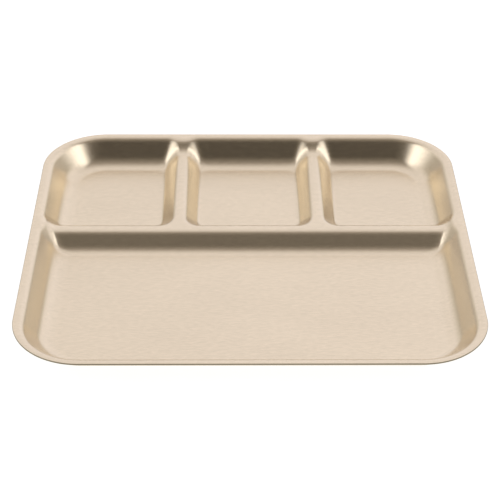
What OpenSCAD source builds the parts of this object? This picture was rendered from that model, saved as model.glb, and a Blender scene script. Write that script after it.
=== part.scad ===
// Divided compartment plate: one sheet pressed into three small rear wells and one large front well.
// Millimetres. x runs to the right, y to the rear and z up; the origin is the middle of the resting face.

/* [Plate] */

// Overall width, along x
plate_w = 240; // [215:1:280]
// Overall depth, along y
plate_d = 220; // [195:1:260]
// Radius of the four corners of the outline
corner_r = 36; // [30:1:42]
// Thickness of the sheet
sheet_t = 0.8; // [0.5:0.1:1.2]

/* [Rim and walls] */

// Height of the rim above the floor of the wells
wall_h = 13.5; // [12:0.5:16]
// Width of the level rim
rim_w = 1.5; // [1:0.5:4]
// Slope of the outer wall, in degrees
wall_slope = 51; // [48:1:58]
// Radius between the rim and the wall
shoulder_r = 5.5; // [3.5:0.5:6]
// Radius between the floor and the wall
cove_r = 12; // [9:0.5:13]

/* [Dividers] */

// Height of the dividers above the floor
divider_h = 8.2; // [7:0.2:10]
// Slope of the cross divider's sides, in degrees
divider_slope = 42; // [38:1:50]
// Slope of the rear dividers' sides, in degrees
rear_slope = 46; // [40:1:54]
// Width of the level top of the cross divider; the rear dividers' tops are narrower as they are steeper
divider_top = 1.4; // [0.6:0.2:3]
// Radius between the cross divider's top and its sides
crest_r = 5.8; // [4:0.2:7]
// Radius between the floor and the cross divider
cross_cove_r = 9.5; // [6:0.5:10]
// Radius between the floor and a rear divider
rear_cove_r = 3.5; // [3:0.5:8]
// Place of the cross divider along y
cross_y = 16.2; // [6:0.2:26]
// Distance of the rear dividers from the middle, along x
rear_x = 39; // [34:0.5:44]
// Rounding where a rear divider leaves the cross divider, at the floor
tee_blend = 6.5; // [4:0.5:8]
// Growth of that rounding for each millimetre towards the crest
tee_growth = 0.6; // [0.2:0.1:0.8]
// Rounding where a divider runs into the outer wall
end_blend = 3; // [2:0.5:6]

/* [Swells at the dividers' ends] */

// How far the rear wall swells forward at the end of a rear divider, at the rim
swell = 1.2; // [0.4:0.2:2]
// Width of that swell at the rim, along x
swell_w = 16; // [12:1:20]
// How far the rear wall swells forward there at its foot
foot_swell = 6; // [3:0.5:8]
// Width of that swell at the foot, along x
foot_swell_w = 34; // [26:1:38]
// Share of those swells that the side walls have at the ends of the cross divider
side_share = 0.7; // [0:0.1:1]

/* [Hidden] */

// Widths on plan: of the wall from rim to floor, of the wall and rim, and of half of each kind of divider
wall_run = foot(cove_r, wall_slope, wall_h, shoulder_r);
inset = rim_w + wall_run;
cross_half = foot(cross_cove_r, divider_slope, divider_h, crest_r) + divider_top / 2;
rear_half = reach(climb(cross_half, cross_cove_r, divider_slope), rear_cove_r, rear_slope);

// The floor's outline before the dividers are added
floor_x = plate_w / 2 - inset;
floor_y = plate_d / 2 - inset;
floor_r = corner_r - inset;

// A rear divider fades out under the cross divider's crest, over this length
tee_run = divider_top / 2 + 0.4 * crest_r;

// Centre of the corner at +x, +y
corner_x = plate_w / 2 - corner_r;
corner_y = plate_d / 2 - corner_r;

// Lines closer together than this are merged
line_gap = 0.3;
// Half the base over which a slope is taken
slope_step = 0.01;

// Distances in from the outline at which lines run: rim, shoulder, wall, cove, then the rest of the corner
corner_lines = 3;
shoulder_lines = [for (share = [0, 0.5, 1]) rim_w + shoulder_r * sin(share * wall_slope)];
wall_lines = concat(
    [0],
    shoulder_lines,
    [for (share = [1, 2 / 3, 1 / 3, 0]) inset - cove_r * sin(share * wall_slope)],
    [for (i = [1 : corner_lines]) inset + floor_r * i / corner_lines]
);

// Distances out from the middle of each kind of divider at which lines run
cross_lines = divider_lines(cross_cove_r, divider_slope, cross_half);
rear_lines = divider_lines(rear_cove_r, rear_slope, rear_half);

x_lines = merged(sorted(concat(
    [0],
    [for (side = [-1, 1], d = wall_lines) side * (plate_w / 2 - d)],
    [for (side = [-1, 1], way = [-1, 1], d = rear_lines) side * rear_x + way * d]
)));
y_lines = merged(sorted(concat(
    [for (side = [-1, 1], d = wall_lines) side * (plate_d / 2 - d)],
    [for (d = shoulder_lines) plate_d / 2 - d - swell],
    [for (share = [0.5, 1]) floor_y - foot_swell * share],
    [for (way = [-1, 1], d = cross_lines) cross_y + way * d]
)));
columns = len(x_lines);
rows = len(y_lines);

// Lines of a divider from its middle out: crest, side, cove, then its rounded junctions
function divider_lines(cove, slope, half) =
    let (
        narrowing = tan(divider_slope) / tan(slope),
        crest = [
            for (share = [0, 0.5, 1])
                (divider_top / 2 + crest_r * sin(share * divider_slope)) * narrowing
        ],
        cove_start = half - cove * sin(slope)
    )
    concat(
        crest,
        [(crest[2] + cove_start) / 2, cove_start],
        [for (share = [0.5, 0]) half - cove * sin(share * slope)],
        [for (share = [0.5, 1]) half + tee_blend * share]
    );

// Plan width of a slope that rises from the floor to a level top, with its cove and its upper radius
function foot(cove, slope, top, r) = (cove + r) * tan(slope / 2) + top / tan(slope);

// Height at a distance u in from the foot of a cove and the straight slope that follows it
function climb(u, cove, slope) =
    let (cove_u = cove * sin(slope))
    cove - sqrt(cove ^ 2 - min(max(u, 0), cove_u) ^ 2) + max(u - cove_u, 0) * tan(slope);

// Distance in from the foot at which such a cove and slope come to a height
function reach(height, cove, slope) =
    let (cove_h = cove * (1 - cos(slope)))
    sqrt(cove ^ 2 - (cove - min(max(height, 0), cove_h)) ^ 2) + max(height - cove_h, 0) / tan(slope);

// The same height with a level top, and a radius between the slope and the top
function rise(u, cove, slope, top, r) =
    let (left = max(foot(cove, slope, top, r) - u, 0))
    left < r * sin(slope) ? top - r + sqrt(r ^ 2 - left ^ 2) : climb(u, cove, slope);

// The larger of two distances, rounded over where they are within k of each other
function soft_max(a, b, k) = max(a, b) + max(k - abs(a - b), 0) ^ 2 / (4 * k);

// Share of a swell of some width at a distance off its middle
function swelling(off, width) = max(1 - (2 * off / width) ^ 2, 0) ^ 2;

// Distance outside the floor's outline, which the swells at the dividers' ends push inwards
function wall_way(x, y) =
    let (
        px = abs(x) - (floor_x - floor_r),
        py = abs(y) - (floor_y - floor_r),
        out = norm([max(px, 0), max(py, 0)]) + min(max(px, py), 0) - floor_r,
        share = min(max(out / wall_run, 0), 1),
        depth = foot_swell + (swell - foot_swell) * share,
        width = foot_swell_w + (swell_w - foot_swell_w) * share,
        rear = y > cross_y ? swelling(abs(x) - rear_x, width) : 0
    )
    out + depth * (rear + side_share * swelling(y - cross_y, width));

// Distance inside the dividers' outline, the cross divider and the rear dividers rounded together;
// the rear dividers' distances are those at which the cross divider has the same height
function divider_way(x, y) =
    let (
        cross = cross_half - abs(y - cross_y),
        fade = rear_half * (max(cross_y + tee_run - y, 0) / tee_run) ^ 2,
        way = rear_half - abs(abs(x) - rear_x) - fade,
        rear = way > 0
            ? reach(climb(way, rear_cove_r, rear_slope), cross_cove_r, divider_slope)
            : way * sqrt(cross_cove_r / rear_cove_r)
    )
    soft_max(cross, rear, tee_blend + tee_growth * max(cross + rear, 0) / 2);

// Height of the sheet's upper face above the floor
function level(x, y) =
    let (
        divider = divider_way(x, y),
        height = rise(divider, cross_cove_r, divider_slope, divider_h, crest_r),
        ridge = divider > 0
            ? reach(height, cove_r, wall_slope)
            : divider * sqrt(cove_r / cross_cove_r)
    )
    rise(soft_max(wall_way(x, y), ridge, end_blend), cove_r, wall_slope, wall_h, shoulder_r);

// A crossing of lines, bent round the corner so that the lines become arcs there
function bent(x, y) =
    let (
        px = abs(x) - corner_x,
        py = abs(y) - corner_y,
        far = max(px, py),
        turn = 45 * min(px, py) / far,
        along = px > py ? [cos(turn), sin(turn)] : [sin(turn), cos(turn)]
    )
    min(px, py) <= 0 ? [x, y]
    : [sign(x) * (corner_x + far * along.x), sign(y) * (corner_y + far * along.y)];

// A point of the upper face, and the point one thickness below it square to the sheet
function upper(p) = [p.x, p.y, sheet_t + level(p.x, p.y)];
function lower(p) =
    let (
        dx = level(p.x + slope_step, p.y) - level(p.x - slope_step, p.y),
        dy = level(p.x, p.y + slope_step) - level(p.x, p.y - slope_step),
        square = [-dx, -dy, 2 * slope_step]
    )
    upper(p) - sheet_t * square / norm(square);

// A list of numbers in rising order, and the same list without near repeats
function sorted(v) =
    len(v) < 2 ? v
    : let (middle = v[floor(len(v) / 2)])
    concat(
        sorted([for (a = v) if (a < middle) a]),
        [for (a = v) if (a == middle) a],
        sorted([for (a = v) if (a > middle) a])
    );
function merged(v) = [for (i = [0 : len(v) - 1]) if (i == 0 || v[i] - v[i - 1] > line_gap) v[i]];

// The whole plate, a closed skin of the upper face, the lower face and the sheet's edge
module pressed_plate() {
    plan = [for (y = y_lines, x = x_lines) bent(x, y)];
    top = [for (p = plan) upper(p)];
    under = [for (p = plan) lower(p)];
    count = columns * rows;

    // Each cell is split along its flatter diagonal
    cells = [
        for (j = [0 : rows - 2], i = [0 : columns - 2])
            let (
                a = j * columns + i,
                b = a + 1,
                c = a + columns + 1,
                d = a + columns,
                split = abs(top[a].z - top[c].z) <= abs(top[b].z - top[d].z)
            )
            each split ? [[a, d, c], [a, c, b]] : [[a, d, b], [b, d, c]]
    ];
    lower_cells = [for (cell = cells) [for (i = [2, 1, 0]) cell[i] + count]];

    // The outline, taken round from the front left corner
    loop = concat(
        [for (i = [0 : columns - 2]) i],
        [for (j = [0 : rows - 2]) j * columns + columns - 1],
        [for (i = [columns - 1 : -1 : 1]) (rows - 1) * columns + i],
        [for (j = [rows - 1 : -1 : 1]) j * columns]
    );
    edge_cells = [
        for (i = [0 : len(loop) - 1])
            let (
                a = loop[i],
                b = loop[(i + 1) % len(loop)]
            )
            each [[a, b, b + count], [a, b + count, a + count]]
    ];

    color([0.87, 0.78, 0.66])
        polyhedron(points = concat(top, under), faces = concat(cells, lower_cells, edge_cells));
}

pressed_plate();
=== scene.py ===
"""A divided plate pressed from one sheet of satin champagne-gold steel, on a white studio floor. Metres."""

import math

import bpy
import numpy as np
from mathutils import Matrix, Vector


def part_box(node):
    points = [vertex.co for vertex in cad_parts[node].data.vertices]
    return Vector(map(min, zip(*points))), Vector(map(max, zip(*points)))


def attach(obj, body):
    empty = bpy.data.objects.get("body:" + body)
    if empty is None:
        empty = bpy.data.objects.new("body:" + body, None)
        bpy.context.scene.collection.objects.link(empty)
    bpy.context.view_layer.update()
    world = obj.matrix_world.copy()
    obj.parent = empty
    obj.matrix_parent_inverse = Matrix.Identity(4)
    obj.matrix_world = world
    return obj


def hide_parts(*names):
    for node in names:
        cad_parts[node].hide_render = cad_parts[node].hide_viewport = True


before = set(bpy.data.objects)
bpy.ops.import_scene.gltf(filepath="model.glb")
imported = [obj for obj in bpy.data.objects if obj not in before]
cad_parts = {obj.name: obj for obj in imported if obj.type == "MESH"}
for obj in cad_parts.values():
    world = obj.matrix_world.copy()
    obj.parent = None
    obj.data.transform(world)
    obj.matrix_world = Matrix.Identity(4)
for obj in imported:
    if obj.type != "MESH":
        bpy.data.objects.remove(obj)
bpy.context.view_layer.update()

# The sheet's sizes: the overall ones come from the CAD part's box, the others repeat those of the CAD part
NODE = "pressed_plate"
LOW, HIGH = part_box(NODE)
HALF_W = HIGH.x
HALF_D = HIGH.y
SHEET = 0.0008
WALL_H = HIGH.z - SHEET
CORNER_R = 0.036
RIM_W = 0.0015
WALL_SLOPE = math.radians(51)
SHOULDER_R = 0.0055
COVE_R = 0.012
DIVIDER_H = 0.0082
DIVIDER_SLOPE = math.radians(42)
DIVIDER_TOP = 0.0014
CREST_R = 0.0058
CROSS_COVE_R = 0.0095
REAR_COVE_R = 0.0035
REAR_SLOPE = math.radians(46)
CROSS_Y = 0.0162
REAR_X = 0.039
TEE_BLEND = 0.0065
TEE_GROWTH = 0.6
END_BLEND = 0.003
SWELL = 0.0012
SWELL_W = 0.016
FOOT_SWELL = 0.006
FOOT_SWELL_W = 0.034
SIDE_SHARE = 0.7
# Share of the crest's radius over which a rear divider fades out under the cross divider's crest
TEE_SHARE = 0.4
# Rounding of the sheet's edge, which the CAD part leaves sharp
EDGE_R = 0.0002

# Steps between the mesh's lines: on curved stretches, on level ones and beside the sheet's edge
FINE = 0.0006
COARSE = 0.002
EDGE_STEP = 0.00015
# Steps round each rounded arris of the edge
EDGE_TURNS = 3
# Half the base over which a slope is taken
SLOPE_STEP = 0.00001

# The camera: its place, the way it looks, and its focal length for an image of this width in pixels
CAMERA_AT = (-0.00787, -0.673259, 0.472908)
CAMERA_PITCH = math.radians(34.784)
CAMERA_YAW = math.radians(0.7121)
CAMERA_ROLL = math.radians(-0.3733)
IMAGE_PIXELS = 500
FOCAL_PIXELS = 1492.1
SENSOR_MM = 36.0

# Colours are linear
GOLD = (0.88, 0.77, 0.594, 1)
GOLD_DULL = (0.72, 0.63, 0.486, 1)
# The cut edge's colours are darkened partly for its duller sheared finish and partly as painted shade,
# standing in for the dark that the edge reflects
EDGE_GOLD_SHADED = (0.34, 0.30, 0.21, 1)
EDGE_DARK_SHADED = (0.22, 0.19, 0.13, 1)
SPECK = (0.16, 0.11, 0.07, 1)
PAPER_GREY = (0.35, 0.35, 0.35, 1)
WHITE = (1, 1, 1, 1)

# Scales of the noises per metre along x, y and z, and their detail
LINE_SCALE = (300, 950, 950)
CLOUD_SCALE = (14, 30, 30)
GROOVE_SCALE = (150, 2600, 2600)
MARK_SCALE = (1500, 1500, 200)
FINE_DETAIL = 3
CLOUD_DETAIL = 2
# Ranges that most of a noise lies in, and the ranges that they are carried to
NOISE_CORE = (0.3, 0.7)
NOISE_SPAN = (0.25, 0.75)
LINE_TONE = (0.2, 0.6)
CLOUD_TONE = (0, 0.2)
GOLD_ROUGHNESS = (0.21, 0.24)
EDGE_ROUGHNESS = (0.38, 0.55)
PAPER_ROUGHNESS = 0.9
# The brushing: how far it stretches reflections, its turn from the tangent, and its grooves
ANISOTROPY = 0.83
BRUSH_TURN = 0.25
GROOVE_STRENGTH = 0.08
GROOVE_DEPTH = 0.00002

# Specks: cells per metre, the share of cells that have none, and the widest radius in cells
SPECK_CELLS = 45
SPECK_SHARE = 0.85
SPECK_REACH = 0.022

# Brightness of the surroundings by the angle in degrees from the dark side, which is the camera's
SURROUNDINGS = [
    (0, 0.02), (30, 0.028), (45, 0.05), (56, 0.135), (66, 0.21), (78, 0.27),
    (90, 0.39), (100, 0.68), (108, 0.88), (120, 0.92), (150, 1.0), (180, 1.0),
]
# Their least brightness, by how far up the way to them points
HORIZON = [(-1, 0.55), (0.15, 0.55), (0.27, 0.4), (0.38, 0.08), (0.45, 0)]
# The sides' share of the first brightness, by how far to the right the way to them points, once widened
SIDES = [
    (-1, 0.42), (-0.75, 0.52), (-0.60, 0.70), (-0.45, 0.84), (-0.27, 0.97), (-0.08, 0.97), (0, 1.0),
    (0.08, 1.0), (0.28, 1.04), (0.55, 1.0), (0.65, 0.86), (0.75, 0.58), (0.85, 0.50), (1, 0.45),
]
# That widening at the horizon, and its growth upwards, by which the sides draw apart
SIDE_SPREAD = 1.3
SIDE_GROWTH = -1.2
# Brightness of a panel at each side in front, by how far to the right the way to it points, once widened
PANELS = [
    (-1, 1.8), (-0.88, 2.0), (-0.78, 2.1), (-0.70, 1.6), (-0.64, 0.95), (-0.59, 0.4), (-0.54, 0.1),
    (-0.48, 0), (0.50, 0),
    (0.56, 0.1), (0.61, 0.4), (0.66, 0.95), (0.72, 1.6), (0.80, 2.1), (0.90, 2.0), (1, 1.8),
]
# That widening straight to the side, and its growth to the rear, by which the panels come together
PANEL_SPREAD = 1.5
PANEL_GROWTH = 1.1
# How far back the way to the panels points where they begin to fade, and where they are gone
PANEL_FADE = (-0.2, 0.42)
# Tints: of the surroundings where they are white and where they are dark, of the panels, and of dark sides
LIGHT_TINT = (1.01, 0.97, 1.01)
DARK_TINT = (1.06, 0.92, 0.76)
PANEL_TINT = (1.03, 1.0, 1.0)
SIDE_TINT = (1.0, 0.94, 0.68)

# The floor: half its width, its clearance under the plate, and its glow where white is 1
FLOOR_HALF = 8.0
FLOOR_DROP = 0.0001
FLOOR_GLOW = 0.86


def foot(cove, slope, top, radius):
    """Plan width of a slope that rises from the floor to a level top, with its cove and its upper radius."""
    return (cove + radius) * math.tan(slope / 2) + top / math.tan(slope)


def climb(u, cove, slope):
    """Height at a distance u in from the foot of a cove and the straight slope that follows it."""
    cove_u = cove * math.sin(slope)
    low = cove - np.sqrt(np.maximum(cove**2 - np.clip(u, 0, cove_u) ** 2, 0))
    return low + np.maximum(u - cove_u, 0) * math.tan(slope)


def reach(height, cove, slope):
    """Distance in from the foot at which such a cove and slope come to a height."""
    cove_h = cove * (1 - math.cos(slope))
    low = np.sqrt(np.maximum(cove**2 - (cove - np.clip(height, 0, cove_h)) ** 2, 0))
    return low + np.maximum(height - cove_h, 0) / math.tan(slope)


def rise(u, cove, slope, top, radius):
    """The same height with a level top, and a radius between the slope and the top."""
    left = np.maximum(foot(cove, slope, top, radius) - u, 0)
    upper = top - radius + np.sqrt(np.maximum(radius**2 - left**2, 0))
    return np.where(left < radius * math.sin(slope), upper, climb(u, cove, slope))


def soft_max(a, b, k):
    """The larger of two distances, rounded over where they are within k of each other."""
    return np.maximum(a, b) + np.maximum(k - np.abs(a - b), 0) ** 2 / (4 * k)


WALL_RUN = foot(COVE_R, WALL_SLOPE, WALL_H, SHOULDER_R)
INSET = RIM_W + WALL_RUN
CROSS_HALF = foot(CROSS_COVE_R, DIVIDER_SLOPE, DIVIDER_H, CREST_R) + DIVIDER_TOP / 2
REAR_HALF = float(reach(climb(CROSS_HALF, CROSS_COVE_R, DIVIDER_SLOPE), REAR_COVE_R, REAR_SLOPE))
FLOOR_X = HALF_W - INSET
FLOOR_Y = HALF_D - INSET
FLOOR_R = CORNER_R - INSET
TEE_RUN = DIVIDER_TOP / 2 + TEE_SHARE * CREST_R
CORNER_X = HALF_W - CORNER_R
CORNER_Y = HALF_D - CORNER_R


def swelling(off, width):
    """Share of a swell of some width at a distance off its middle."""
    return np.maximum(1 - (2 * off / width) ** 2, 0) ** 2


def wall_way(x, y):
    """Distance outside the floor's outline, which the swells at the dividers' ends push inwards."""
    px = np.abs(x) - (FLOOR_X - FLOOR_R)
    py = np.abs(y) - (FLOOR_Y - FLOOR_R)
    out = np.hypot(np.maximum(px, 0), np.maximum(py, 0)) + np.minimum(np.maximum(px, py), 0) - FLOOR_R
    share = np.clip(out / WALL_RUN, 0, 1)
    depth = FOOT_SWELL + (SWELL - FOOT_SWELL) * share
    width = FOOT_SWELL_W + (SWELL_W - FOOT_SWELL_W) * share
    rear = np.where(y > CROSS_Y, swelling(np.abs(x) - REAR_X, width), 0)
    return out + depth * (rear + SIDE_SHARE * swelling(y - CROSS_Y, width))


def divider_way(x, y):
    """Distance inside the dividers' outline, the cross divider and the rear dividers rounded together."""
    cross = CROSS_HALF - np.abs(y - CROSS_Y)
    fade = REAR_HALF * (np.maximum(CROSS_Y + TEE_RUN - y, 0) / TEE_RUN) ** 2
    way = REAR_HALF - np.abs(np.abs(x) - REAR_X) - fade
    same_height = reach(climb(way, REAR_COVE_R, REAR_SLOPE), CROSS_COVE_R, DIVIDER_SLOPE)
    rear = np.where(way > 0, same_height, way * math.sqrt(CROSS_COVE_R / REAR_COVE_R))
    return soft_max(cross, rear, TEE_BLEND + TEE_GROWTH * np.maximum(cross + rear, 0) / 2)


def level(x, y):
    """Height of the sheet's upper face above the floor."""
    wall = wall_way(x, y)
    divider = divider_way(x, y)
    height = rise(divider, CROSS_COVE_R, DIVIDER_SLOPE, DIVIDER_H, CREST_R)
    same_height = reach(height, COVE_R, WALL_SLOPE)
    ridge = np.where(divider > 0, same_height, divider * math.sqrt(COVE_R / CROSS_COVE_R))
    return rise(soft_max(wall, ridge, END_BLEND), COVE_R, WALL_SLOPE, WALL_H, SHOULDER_R)


def spread(breaks):
    """Lines over stretches that are fine and coarse by turns, the first and the last fine."""
    parts = [[breaks[0]]]
    inner = [breaks[0] + EDGE_STEP, *breaks[1:-1], breaks[-1] - EDGE_STEP]
    for i, (start, end) in enumerate(zip(inner, inner[1:])):
        step = COARSE if i % 2 else FINE
        parts.append(np.linspace(start, end, round((end - start) / step), endpoint=False))
    parts.append([inner[-1], breaks[-1]])
    return np.concatenate(parts)


def bent(x, y):
    """Crossings of lines, bent round the corners so that the lines become arcs there."""
    px = np.abs(x) - CORNER_X
    py = np.abs(y) - CORNER_Y
    far = np.maximum(px, py)
    near = np.minimum(px, py)
    turn = math.pi / 4 * near / np.where(near > 0, far, 1)
    along_x = far * np.where(px > py, np.cos(turn), np.sin(turn))
    along_y = far * np.where(px > py, np.sin(turn), np.cos(turn))
    in_corner = near > 0
    return (
        np.where(in_corner, np.sign(x) * (CORNER_X + along_x), x),
        np.where(in_corner, np.sign(y) * (CORNER_Y + along_y), y),
    )


def edge_loops(outline):
    """Loops round the sheet's edge, from its upper face to its lower one, with both arrises rounded."""
    side = outline[:, :2]
    core = np.clip(side, [-CORNER_X, -CORNER_Y], [CORNER_X, CORNER_Y])
    outward = (side - core) / np.linalg.norm(side - core, axis=1, keepdims=True)
    turns = [math.pi / 2 * i / EDGE_TURNS for i in range(1, EDGE_TURNS + 1)]
    upper = [(EDGE_R * math.sin(a), EDGE_R * (1 - math.cos(a))) for a in turns]
    profile = upper + [(out, SHEET - drop) for out, drop in reversed(upper)]
    return [np.column_stack([side + outward * out, outline[:, 2] - drop]) for out, drop in profile]


def plate_mesh():
    """The sheet as one closed mesh: upper face, lower face and edge."""
    half_w = HALF_W - EDGE_R
    half_d = HALF_D - EDGE_R
    span = CROSS_HALF + TEE_BLEND
    x_lines = spread([
        -half_w, -CORNER_X, -REAR_X - span, -REAR_X + span,
        REAR_X - span, REAR_X + span, CORNER_X, half_w,
    ])
    y_lines = spread([-half_d, -CORNER_Y, CROSS_Y - span, CROSS_Y + span, CORNER_Y, half_d])
    columns = len(x_lines)
    rows = len(y_lines)
    x, y = (plan.ravel() for plan in bent(*np.meshgrid(x_lines, y_lines)))

    z = level(x, y)
    dx = level(x + SLOPE_STEP, y) - level(x - SLOPE_STEP, y)
    dy = level(x, y + SLOPE_STEP) - level(x, y - SLOPE_STEP)
    square = np.column_stack([-dx, -dy, np.full_like(dx, 2 * SLOPE_STEP)])
    square /= np.linalg.norm(square, axis=1, keepdims=True)
    upper = np.column_stack([x, y, SHEET + z])
    lower = upper - SHEET * square

    index = np.arange(rows * columns).reshape(rows, columns)
    quads = np.stack([index[:-1, :-1], index[:-1, 1:], index[1:, 1:], index[1:, :-1]], -1).reshape(-1, 4)
    loop = np.concatenate([index[0, :-1], index[:-1, -1], index[-1, :0:-1], index[:0:-1, 0]])
    loops = edge_loops(upper[loop])
    count = len(upper)
    starts = 2 * count + len(loop) * np.arange(len(loops))
    rings = [loop, *[start + np.arange(len(loop)) for start in starts], loop + count]
    edge = [
        np.stack([a, b, np.roll(b, -1), np.roll(a, -1)], -1)
        for a, b in zip(rings, rings[1:])
    ]
    faces = np.concatenate([quads, quads[:, ::-1] + count, *edge])
    points = np.concatenate([upper, lower, *loops])

    mesh = bpy.data.meshes.new("plate")
    mesh.from_pydata(points.tolist(), [], faces.tolist())
    mesh.polygons.foreach_set("use_smooth", np.ones(len(faces), bool))
    material = np.zeros(len(faces), np.int32)
    material[2 * len(quads):] = 1
    mesh.polygons.foreach_set("material_index", material)
    corners = faces.ravel()
    uv = np.column_stack([points[corners, 0] / (2 * HALF_W), points[corners, 1] / (2 * HALF_D)]) + 0.5
    mesh.uv_layers.new(name="UVMap").data.foreach_set("uv", uv.ravel())
    mesh.update()
    return mesh


def new_material(name):
    """An empty node material; returns it with its shader and two helpers that add nodes and links."""
    material = bpy.data.materials.new(name)
    material.use_nodes = True
    tree = material.node_tree

    def add(kind, **values):
        node = tree.nodes.new(kind)
        for key, value in values.items():
            setattr(node, key, value)
        return node

    return material, tree.nodes["Principled BSDF"], add, tree.links.new


def stretched_noise(add, link, scale, detail):
    """Noise over the object's own space, with a scale per metre along each axis."""
    place = add("ShaderNodeTexCoord")
    mapping = add("ShaderNodeMapping")
    mapping.inputs["Scale"].default_value = scale
    noise = add("ShaderNodeTexNoise")
    noise.inputs["Scale"].default_value = 1.0
    noise.inputs["Detail"].default_value = detail
    link(place.outputs["Object"], mapping.inputs["Vector"])
    link(mapping.outputs["Vector"], noise.inputs["Vector"])
    return noise.outputs["Fac"]


def mapped(add, link, value, source, target):
    """A value carried from one range to another."""
    node = add("ShaderNodeMapRange")
    node.inputs["From Min"].default_value, node.inputs["From Max"].default_value = source
    node.inputs["To Min"].default_value, node.inputs["To Max"].default_value = target
    link(value, node.inputs["Value"])
    return node.outputs["Result"]


def mixed(add, link, share, first, second):
    """A colour between two; the first is a fixed colour or another node's output."""
    node = add("ShaderNodeMix", data_type="RGBA")
    sockets = {socket.identifier: socket for socket in node.inputs}
    link(share, sockets["Factor_Float"])
    if isinstance(first, tuple):
        sockets["A_Color"].default_value = first
    else:
        link(first, sockets["A_Color"])
    sockets["B_Color"].default_value = second
    return next(socket for socket in node.outputs if socket.identifier == "Result_Color")


def specks(add, link):
    """1 on a few tiny round spots far apart, 0 elsewhere."""
    place = add("ShaderNodeTexCoord")
    cells = add("ShaderNodeTexVoronoi")
    cells.inputs["Scale"].default_value = SPECK_CELLS
    link(place.outputs["Object"], cells.inputs["Vector"])
    draw = add("ShaderNodeSeparateColor")
    link(cells.outputs["Color"], draw.inputs["Color"])
    size = mapped(add, link, draw.outputs["Red"], (SPECK_SHARE, 1), (0, SPECK_REACH))
    inside = add("ShaderNodeMath", operation="LESS_THAN")
    link(cells.outputs["Distance"], inside.inputs[0])
    link(size, inside.inputs[1])
    return inside.outputs["Value"]


def satin_gold():
    """Champagne-gold steel brushed along x: fine lines, slow clouds of tone and a few tiny specks."""
    material, shader, add, link = new_material("satin_gold")
    shader.inputs["Metallic"].default_value = 1.0
    shader.inputs["Anisotropic"].default_value = ANISOTROPY
    shader.inputs["Anisotropic Rotation"].default_value = BRUSH_TURN
    tangent = add("ShaderNodeTangent", direction_type="UV_MAP", uv_map="UVMap")
    link(tangent.outputs["Tangent"], shader.inputs["Tangent"])

    lines = stretched_noise(add, link, LINE_SCALE, FINE_DETAIL)
    clouds = stretched_noise(add, link, CLOUD_SCALE, CLOUD_DETAIL)
    tone = add("ShaderNodeMath", operation="ADD")
    link(mapped(add, link, lines, NOISE_CORE, LINE_TONE), tone.inputs[0])
    link(mapped(add, link, clouds, NOISE_CORE, CLOUD_TONE), tone.inputs[1])
    gold = mixed(add, link, tone.outputs["Value"], GOLD_DULL, GOLD)
    link(mixed(add, link, specks(add, link), gold, SPECK), shader.inputs["Base Color"])
    link(mapped(add, link, lines, NOISE_SPAN, GOLD_ROUGHNESS), shader.inputs["Roughness"])

    grooves = stretched_noise(add, link, GROOVE_SCALE, FINE_DETAIL)
    bump = add("ShaderNodeBump")
    bump.inputs["Strength"].default_value = GROOVE_STRENGTH
    bump.inputs["Distance"].default_value = GROOVE_DEPTH
    link(grooves, bump.inputs["Height"])
    link(bump.outputs["Normal"], shader.inputs["Normal"])
    return material


def cut_edge_painted_shade():
    """The sheet's sheared edge: duller than its faces, and darker partly for that sheared finish and partly
    by painted shade, with fine marks across it.
    """
    material, shader, add, link = new_material("cut_edge_painted_shade")
    shader.inputs["Metallic"].default_value = 1.0
    marks = stretched_noise(add, link, MARK_SCALE, FINE_DETAIL)
    # Painted shade: the edge's base colour is darkened to stand in for the dark it reflects, on top of its
    # duller finish
    link(mixed(add, link, marks, EDGE_DARK_SHADED, EDGE_GOLD_SHADED), shader.inputs["Base Color"])
    link(mapped(add, link, marks, NOISE_SPAN, EDGE_ROUGHNESS), shader.inputs["Roughness"])
    return material


def white_paper():
    """Pale paper that glows towards the camera and in reflections, so that it shows white there."""
    material, shader, add, link = new_material("white_paper")
    shader.inputs["Base Color"].default_value = PAPER_GREY
    shader.inputs["Roughness"].default_value = PAPER_ROUGHNESS
    shader.inputs["Specular IOR Level"].default_value = 0.0
    path = add("ShaderNodeLightPath")
    seen = path.outputs["Is Camera Ray"]
    for ray in ("Is Glossy Ray", "Is Transmission Ray"):
        larger = add("ShaderNodeMath", operation="MAXIMUM")
        link(seen, larger.inputs[0])
        link(path.outputs[ray], larger.inputs[1])
        seen = larger.outputs["Value"]
    share = add("ShaderNodeMath", operation="MULTIPLY")
    share.inputs[1].default_value = FLOOR_GLOW
    link(seen, share.inputs[0])
    glow = add("ShaderNodeEmission")
    glow.inputs["Color"].default_value = WHITE
    link(share.outputs["Value"], glow.inputs["Strength"])
    both = add("ShaderNodeAddShader")
    link(shader.outputs["BSDF"], both.inputs[0])
    link(glow.outputs["Emission"], both.inputs[1])
    output = material.node_tree.nodes["Material Output"]
    link(both.outputs["Shader"], output.inputs["Surface"])
    return material


def make_floor():
    """A wide white floor under the plate."""
    half = FLOOR_HALF
    z = LOW.z - FLOOR_DROP
    mesh = bpy.data.meshes.new("floor")
    corners = [(-half, -half, z), (half, -half, z), (half, half, z), (-half, half, z)]
    mesh.from_pydata(corners, [], [(0, 1, 2, 3)])
    mesh.materials.append(white_paper())
    floor = bpy.data.objects.new("floor", mesh)
    bpy.context.scene.collection.objects.link(floor)


def fill(ramp, stops):
    """Sets a colour ramp to a list of places from -1 to 1 and their colours."""
    elements = ramp.color_ramp.elements
    while len(elements) < len(stops):
        elements.new(1.0)
    for element, (place, colour) in zip(elements, stops):
        element.position = (1 + place) / 2
        element.color = (*colour, 1)


def tinted(bright):
    """A grey of a brightness, with the tint that the surroundings have there."""
    share = min(bright, 1)
    return tuple(bright * (dark + (light - dark) * share) for dark, light in zip(DARK_TINT, LIGHT_TINT))


def shaded(share):
    """A grey that scales brightness to a share, with the tint that the sides take on as they darken."""
    return tuple(share * (1 + (tint - 1) * (1 - share)) for tint in SIDE_TINT)


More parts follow.
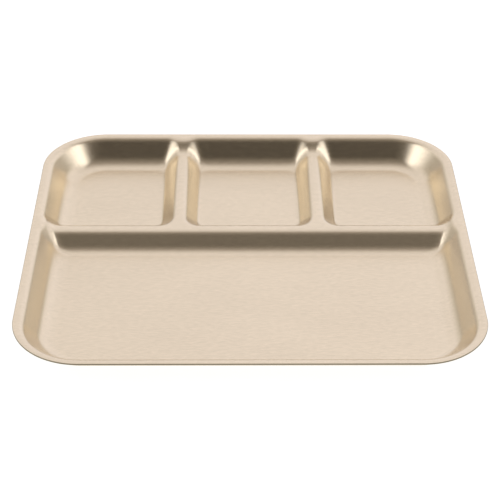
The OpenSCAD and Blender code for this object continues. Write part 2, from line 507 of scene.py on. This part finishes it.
def make_surroundings():
    """A studio that is white at the rear and dark on the camera's side, with a bright panel at each side."""
    world = bpy.data.worlds.new("studio")
    bpy.context.scene.world = world
    world.use_nodes = True
    nodes = world.node_tree.nodes
    link = world.node_tree.links.new
    way = nodes.new("ShaderNodeTexCoord")
    axes = nodes.new("ShaderNodeSeparateXYZ")
    link(way.outputs["Generated"], axes.inputs["Vector"])
    right = axes.outputs["X"]
    rear = axes.outputs["Y"]
    up = axes.outputs["Z"]

    def ramp(value, stops):
        span = nodes.new("ShaderNodeMapRange")
        span.inputs["From Min"].default_value = -1
        node = nodes.new("ShaderNodeValToRGB")
        fill(node, stops)
        link(value, span.inputs["Value"])
        link(span.outputs["Result"], node.inputs["Fac"])
        return node.outputs["Color"]

    def joined(operation, first, second):
        node = nodes.new("ShaderNodeVectorMath")
        node.operation = operation
        link(first, node.inputs[0])
        link(second, node.inputs["Scale" if operation == "SCALE" else 1])
        return node.outputs["Vector"]

    def widened(value, along, widening, growth):
        factor = nodes.new("ShaderNodeMath")
        factor.operation = "MULTIPLY_ADD"
        link(along, factor.inputs[0])
        factor.inputs[1].default_value = growth
        factor.inputs[2].default_value = widening
        product = nodes.new("ShaderNodeMath")
        product.operation = "MULTIPLY"
        link(value, product.inputs[0])
        link(factor.outputs["Value"], product.inputs[1])
        return product.outputs["Value"]

    fade = nodes.new("ShaderNodeMapRange")
    fade.inputs["From Min"].default_value, fade.inputs["From Max"].default_value = PANEL_FADE
    fade.inputs["To Min"].default_value = 1
    fade.inputs["To Max"].default_value = 0
    link(rear, fade.inputs["Value"])

    back = ramp(rear, [(-math.cos(math.radians(angle)), tinted(bright)) for angle, bright in SURROUNDINGS])
    side_way = widened(right, up, SIDE_SPREAD, SIDE_GROWTH)
    sides = ramp(side_way, [(place, shaded(share)) for place, share in SIDES])
    horizon = ramp(up, [(place, tinted(bright)) for place, bright in HORIZON])
    panel_way = widened(right, rear, PANEL_SPREAD, PANEL_GROWTH)
    panels = ramp(panel_way, [(place, [bright * tint for tint in PANEL_TINT]) for place, bright in PANELS])

    room = joined("MAXIMUM", joined("MULTIPLY", back, sides), horizon)
    lamps = joined("SCALE", panels, fade.outputs["Result"])
    link(joined("MAXIMUM", room, lamps), nodes["Background"].inputs["Color"])


def make_camera():
    """The camera at the photograph's place and angle."""
    level_way = Vector((math.sin(CAMERA_YAW), math.cos(CAMERA_YAW), 0))
    forward = level_way * math.cos(CAMERA_PITCH) - Vector((0, 0, math.sin(CAMERA_PITCH)))
    right = Vector((math.cos(CAMERA_YAW), -math.sin(CAMERA_YAW), 0))
    axes = Matrix((right, right.cross(forward), -forward)).transposed()
    data = bpy.data.cameras.new("camera")
    data.sensor_width = SENSOR_MM
    data.lens = SENSOR_MM * FOCAL_PIXELS / IMAGE_PIXELS
    camera = bpy.data.objects.new("camera", data)
    roll = Matrix.Rotation(-CAMERA_ROLL, 4, "Z")
    camera.matrix_world = Matrix.Translation(CAMERA_AT) @ axes.to_4x4() @ roll
    bpy.context.scene.collection.objects.link(camera)
    bpy.context.scene.camera = camera


def make_plate():
    """The plate, standing for its CAD node."""
    mesh = plate_mesh()
    mesh.materials.append(satin_gold())
    mesh.materials.append(cut_edge_painted_shade())
    plate = bpy.data.objects.new("plate", mesh)
    bpy.context.scene.collection.objects.link(plate)
    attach(plate, "root")
    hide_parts(NODE)


make_plate()
make_floor()
make_surroundings()
make_camera()
bpy.context.scene.view_settings.view_transform = "Standard"
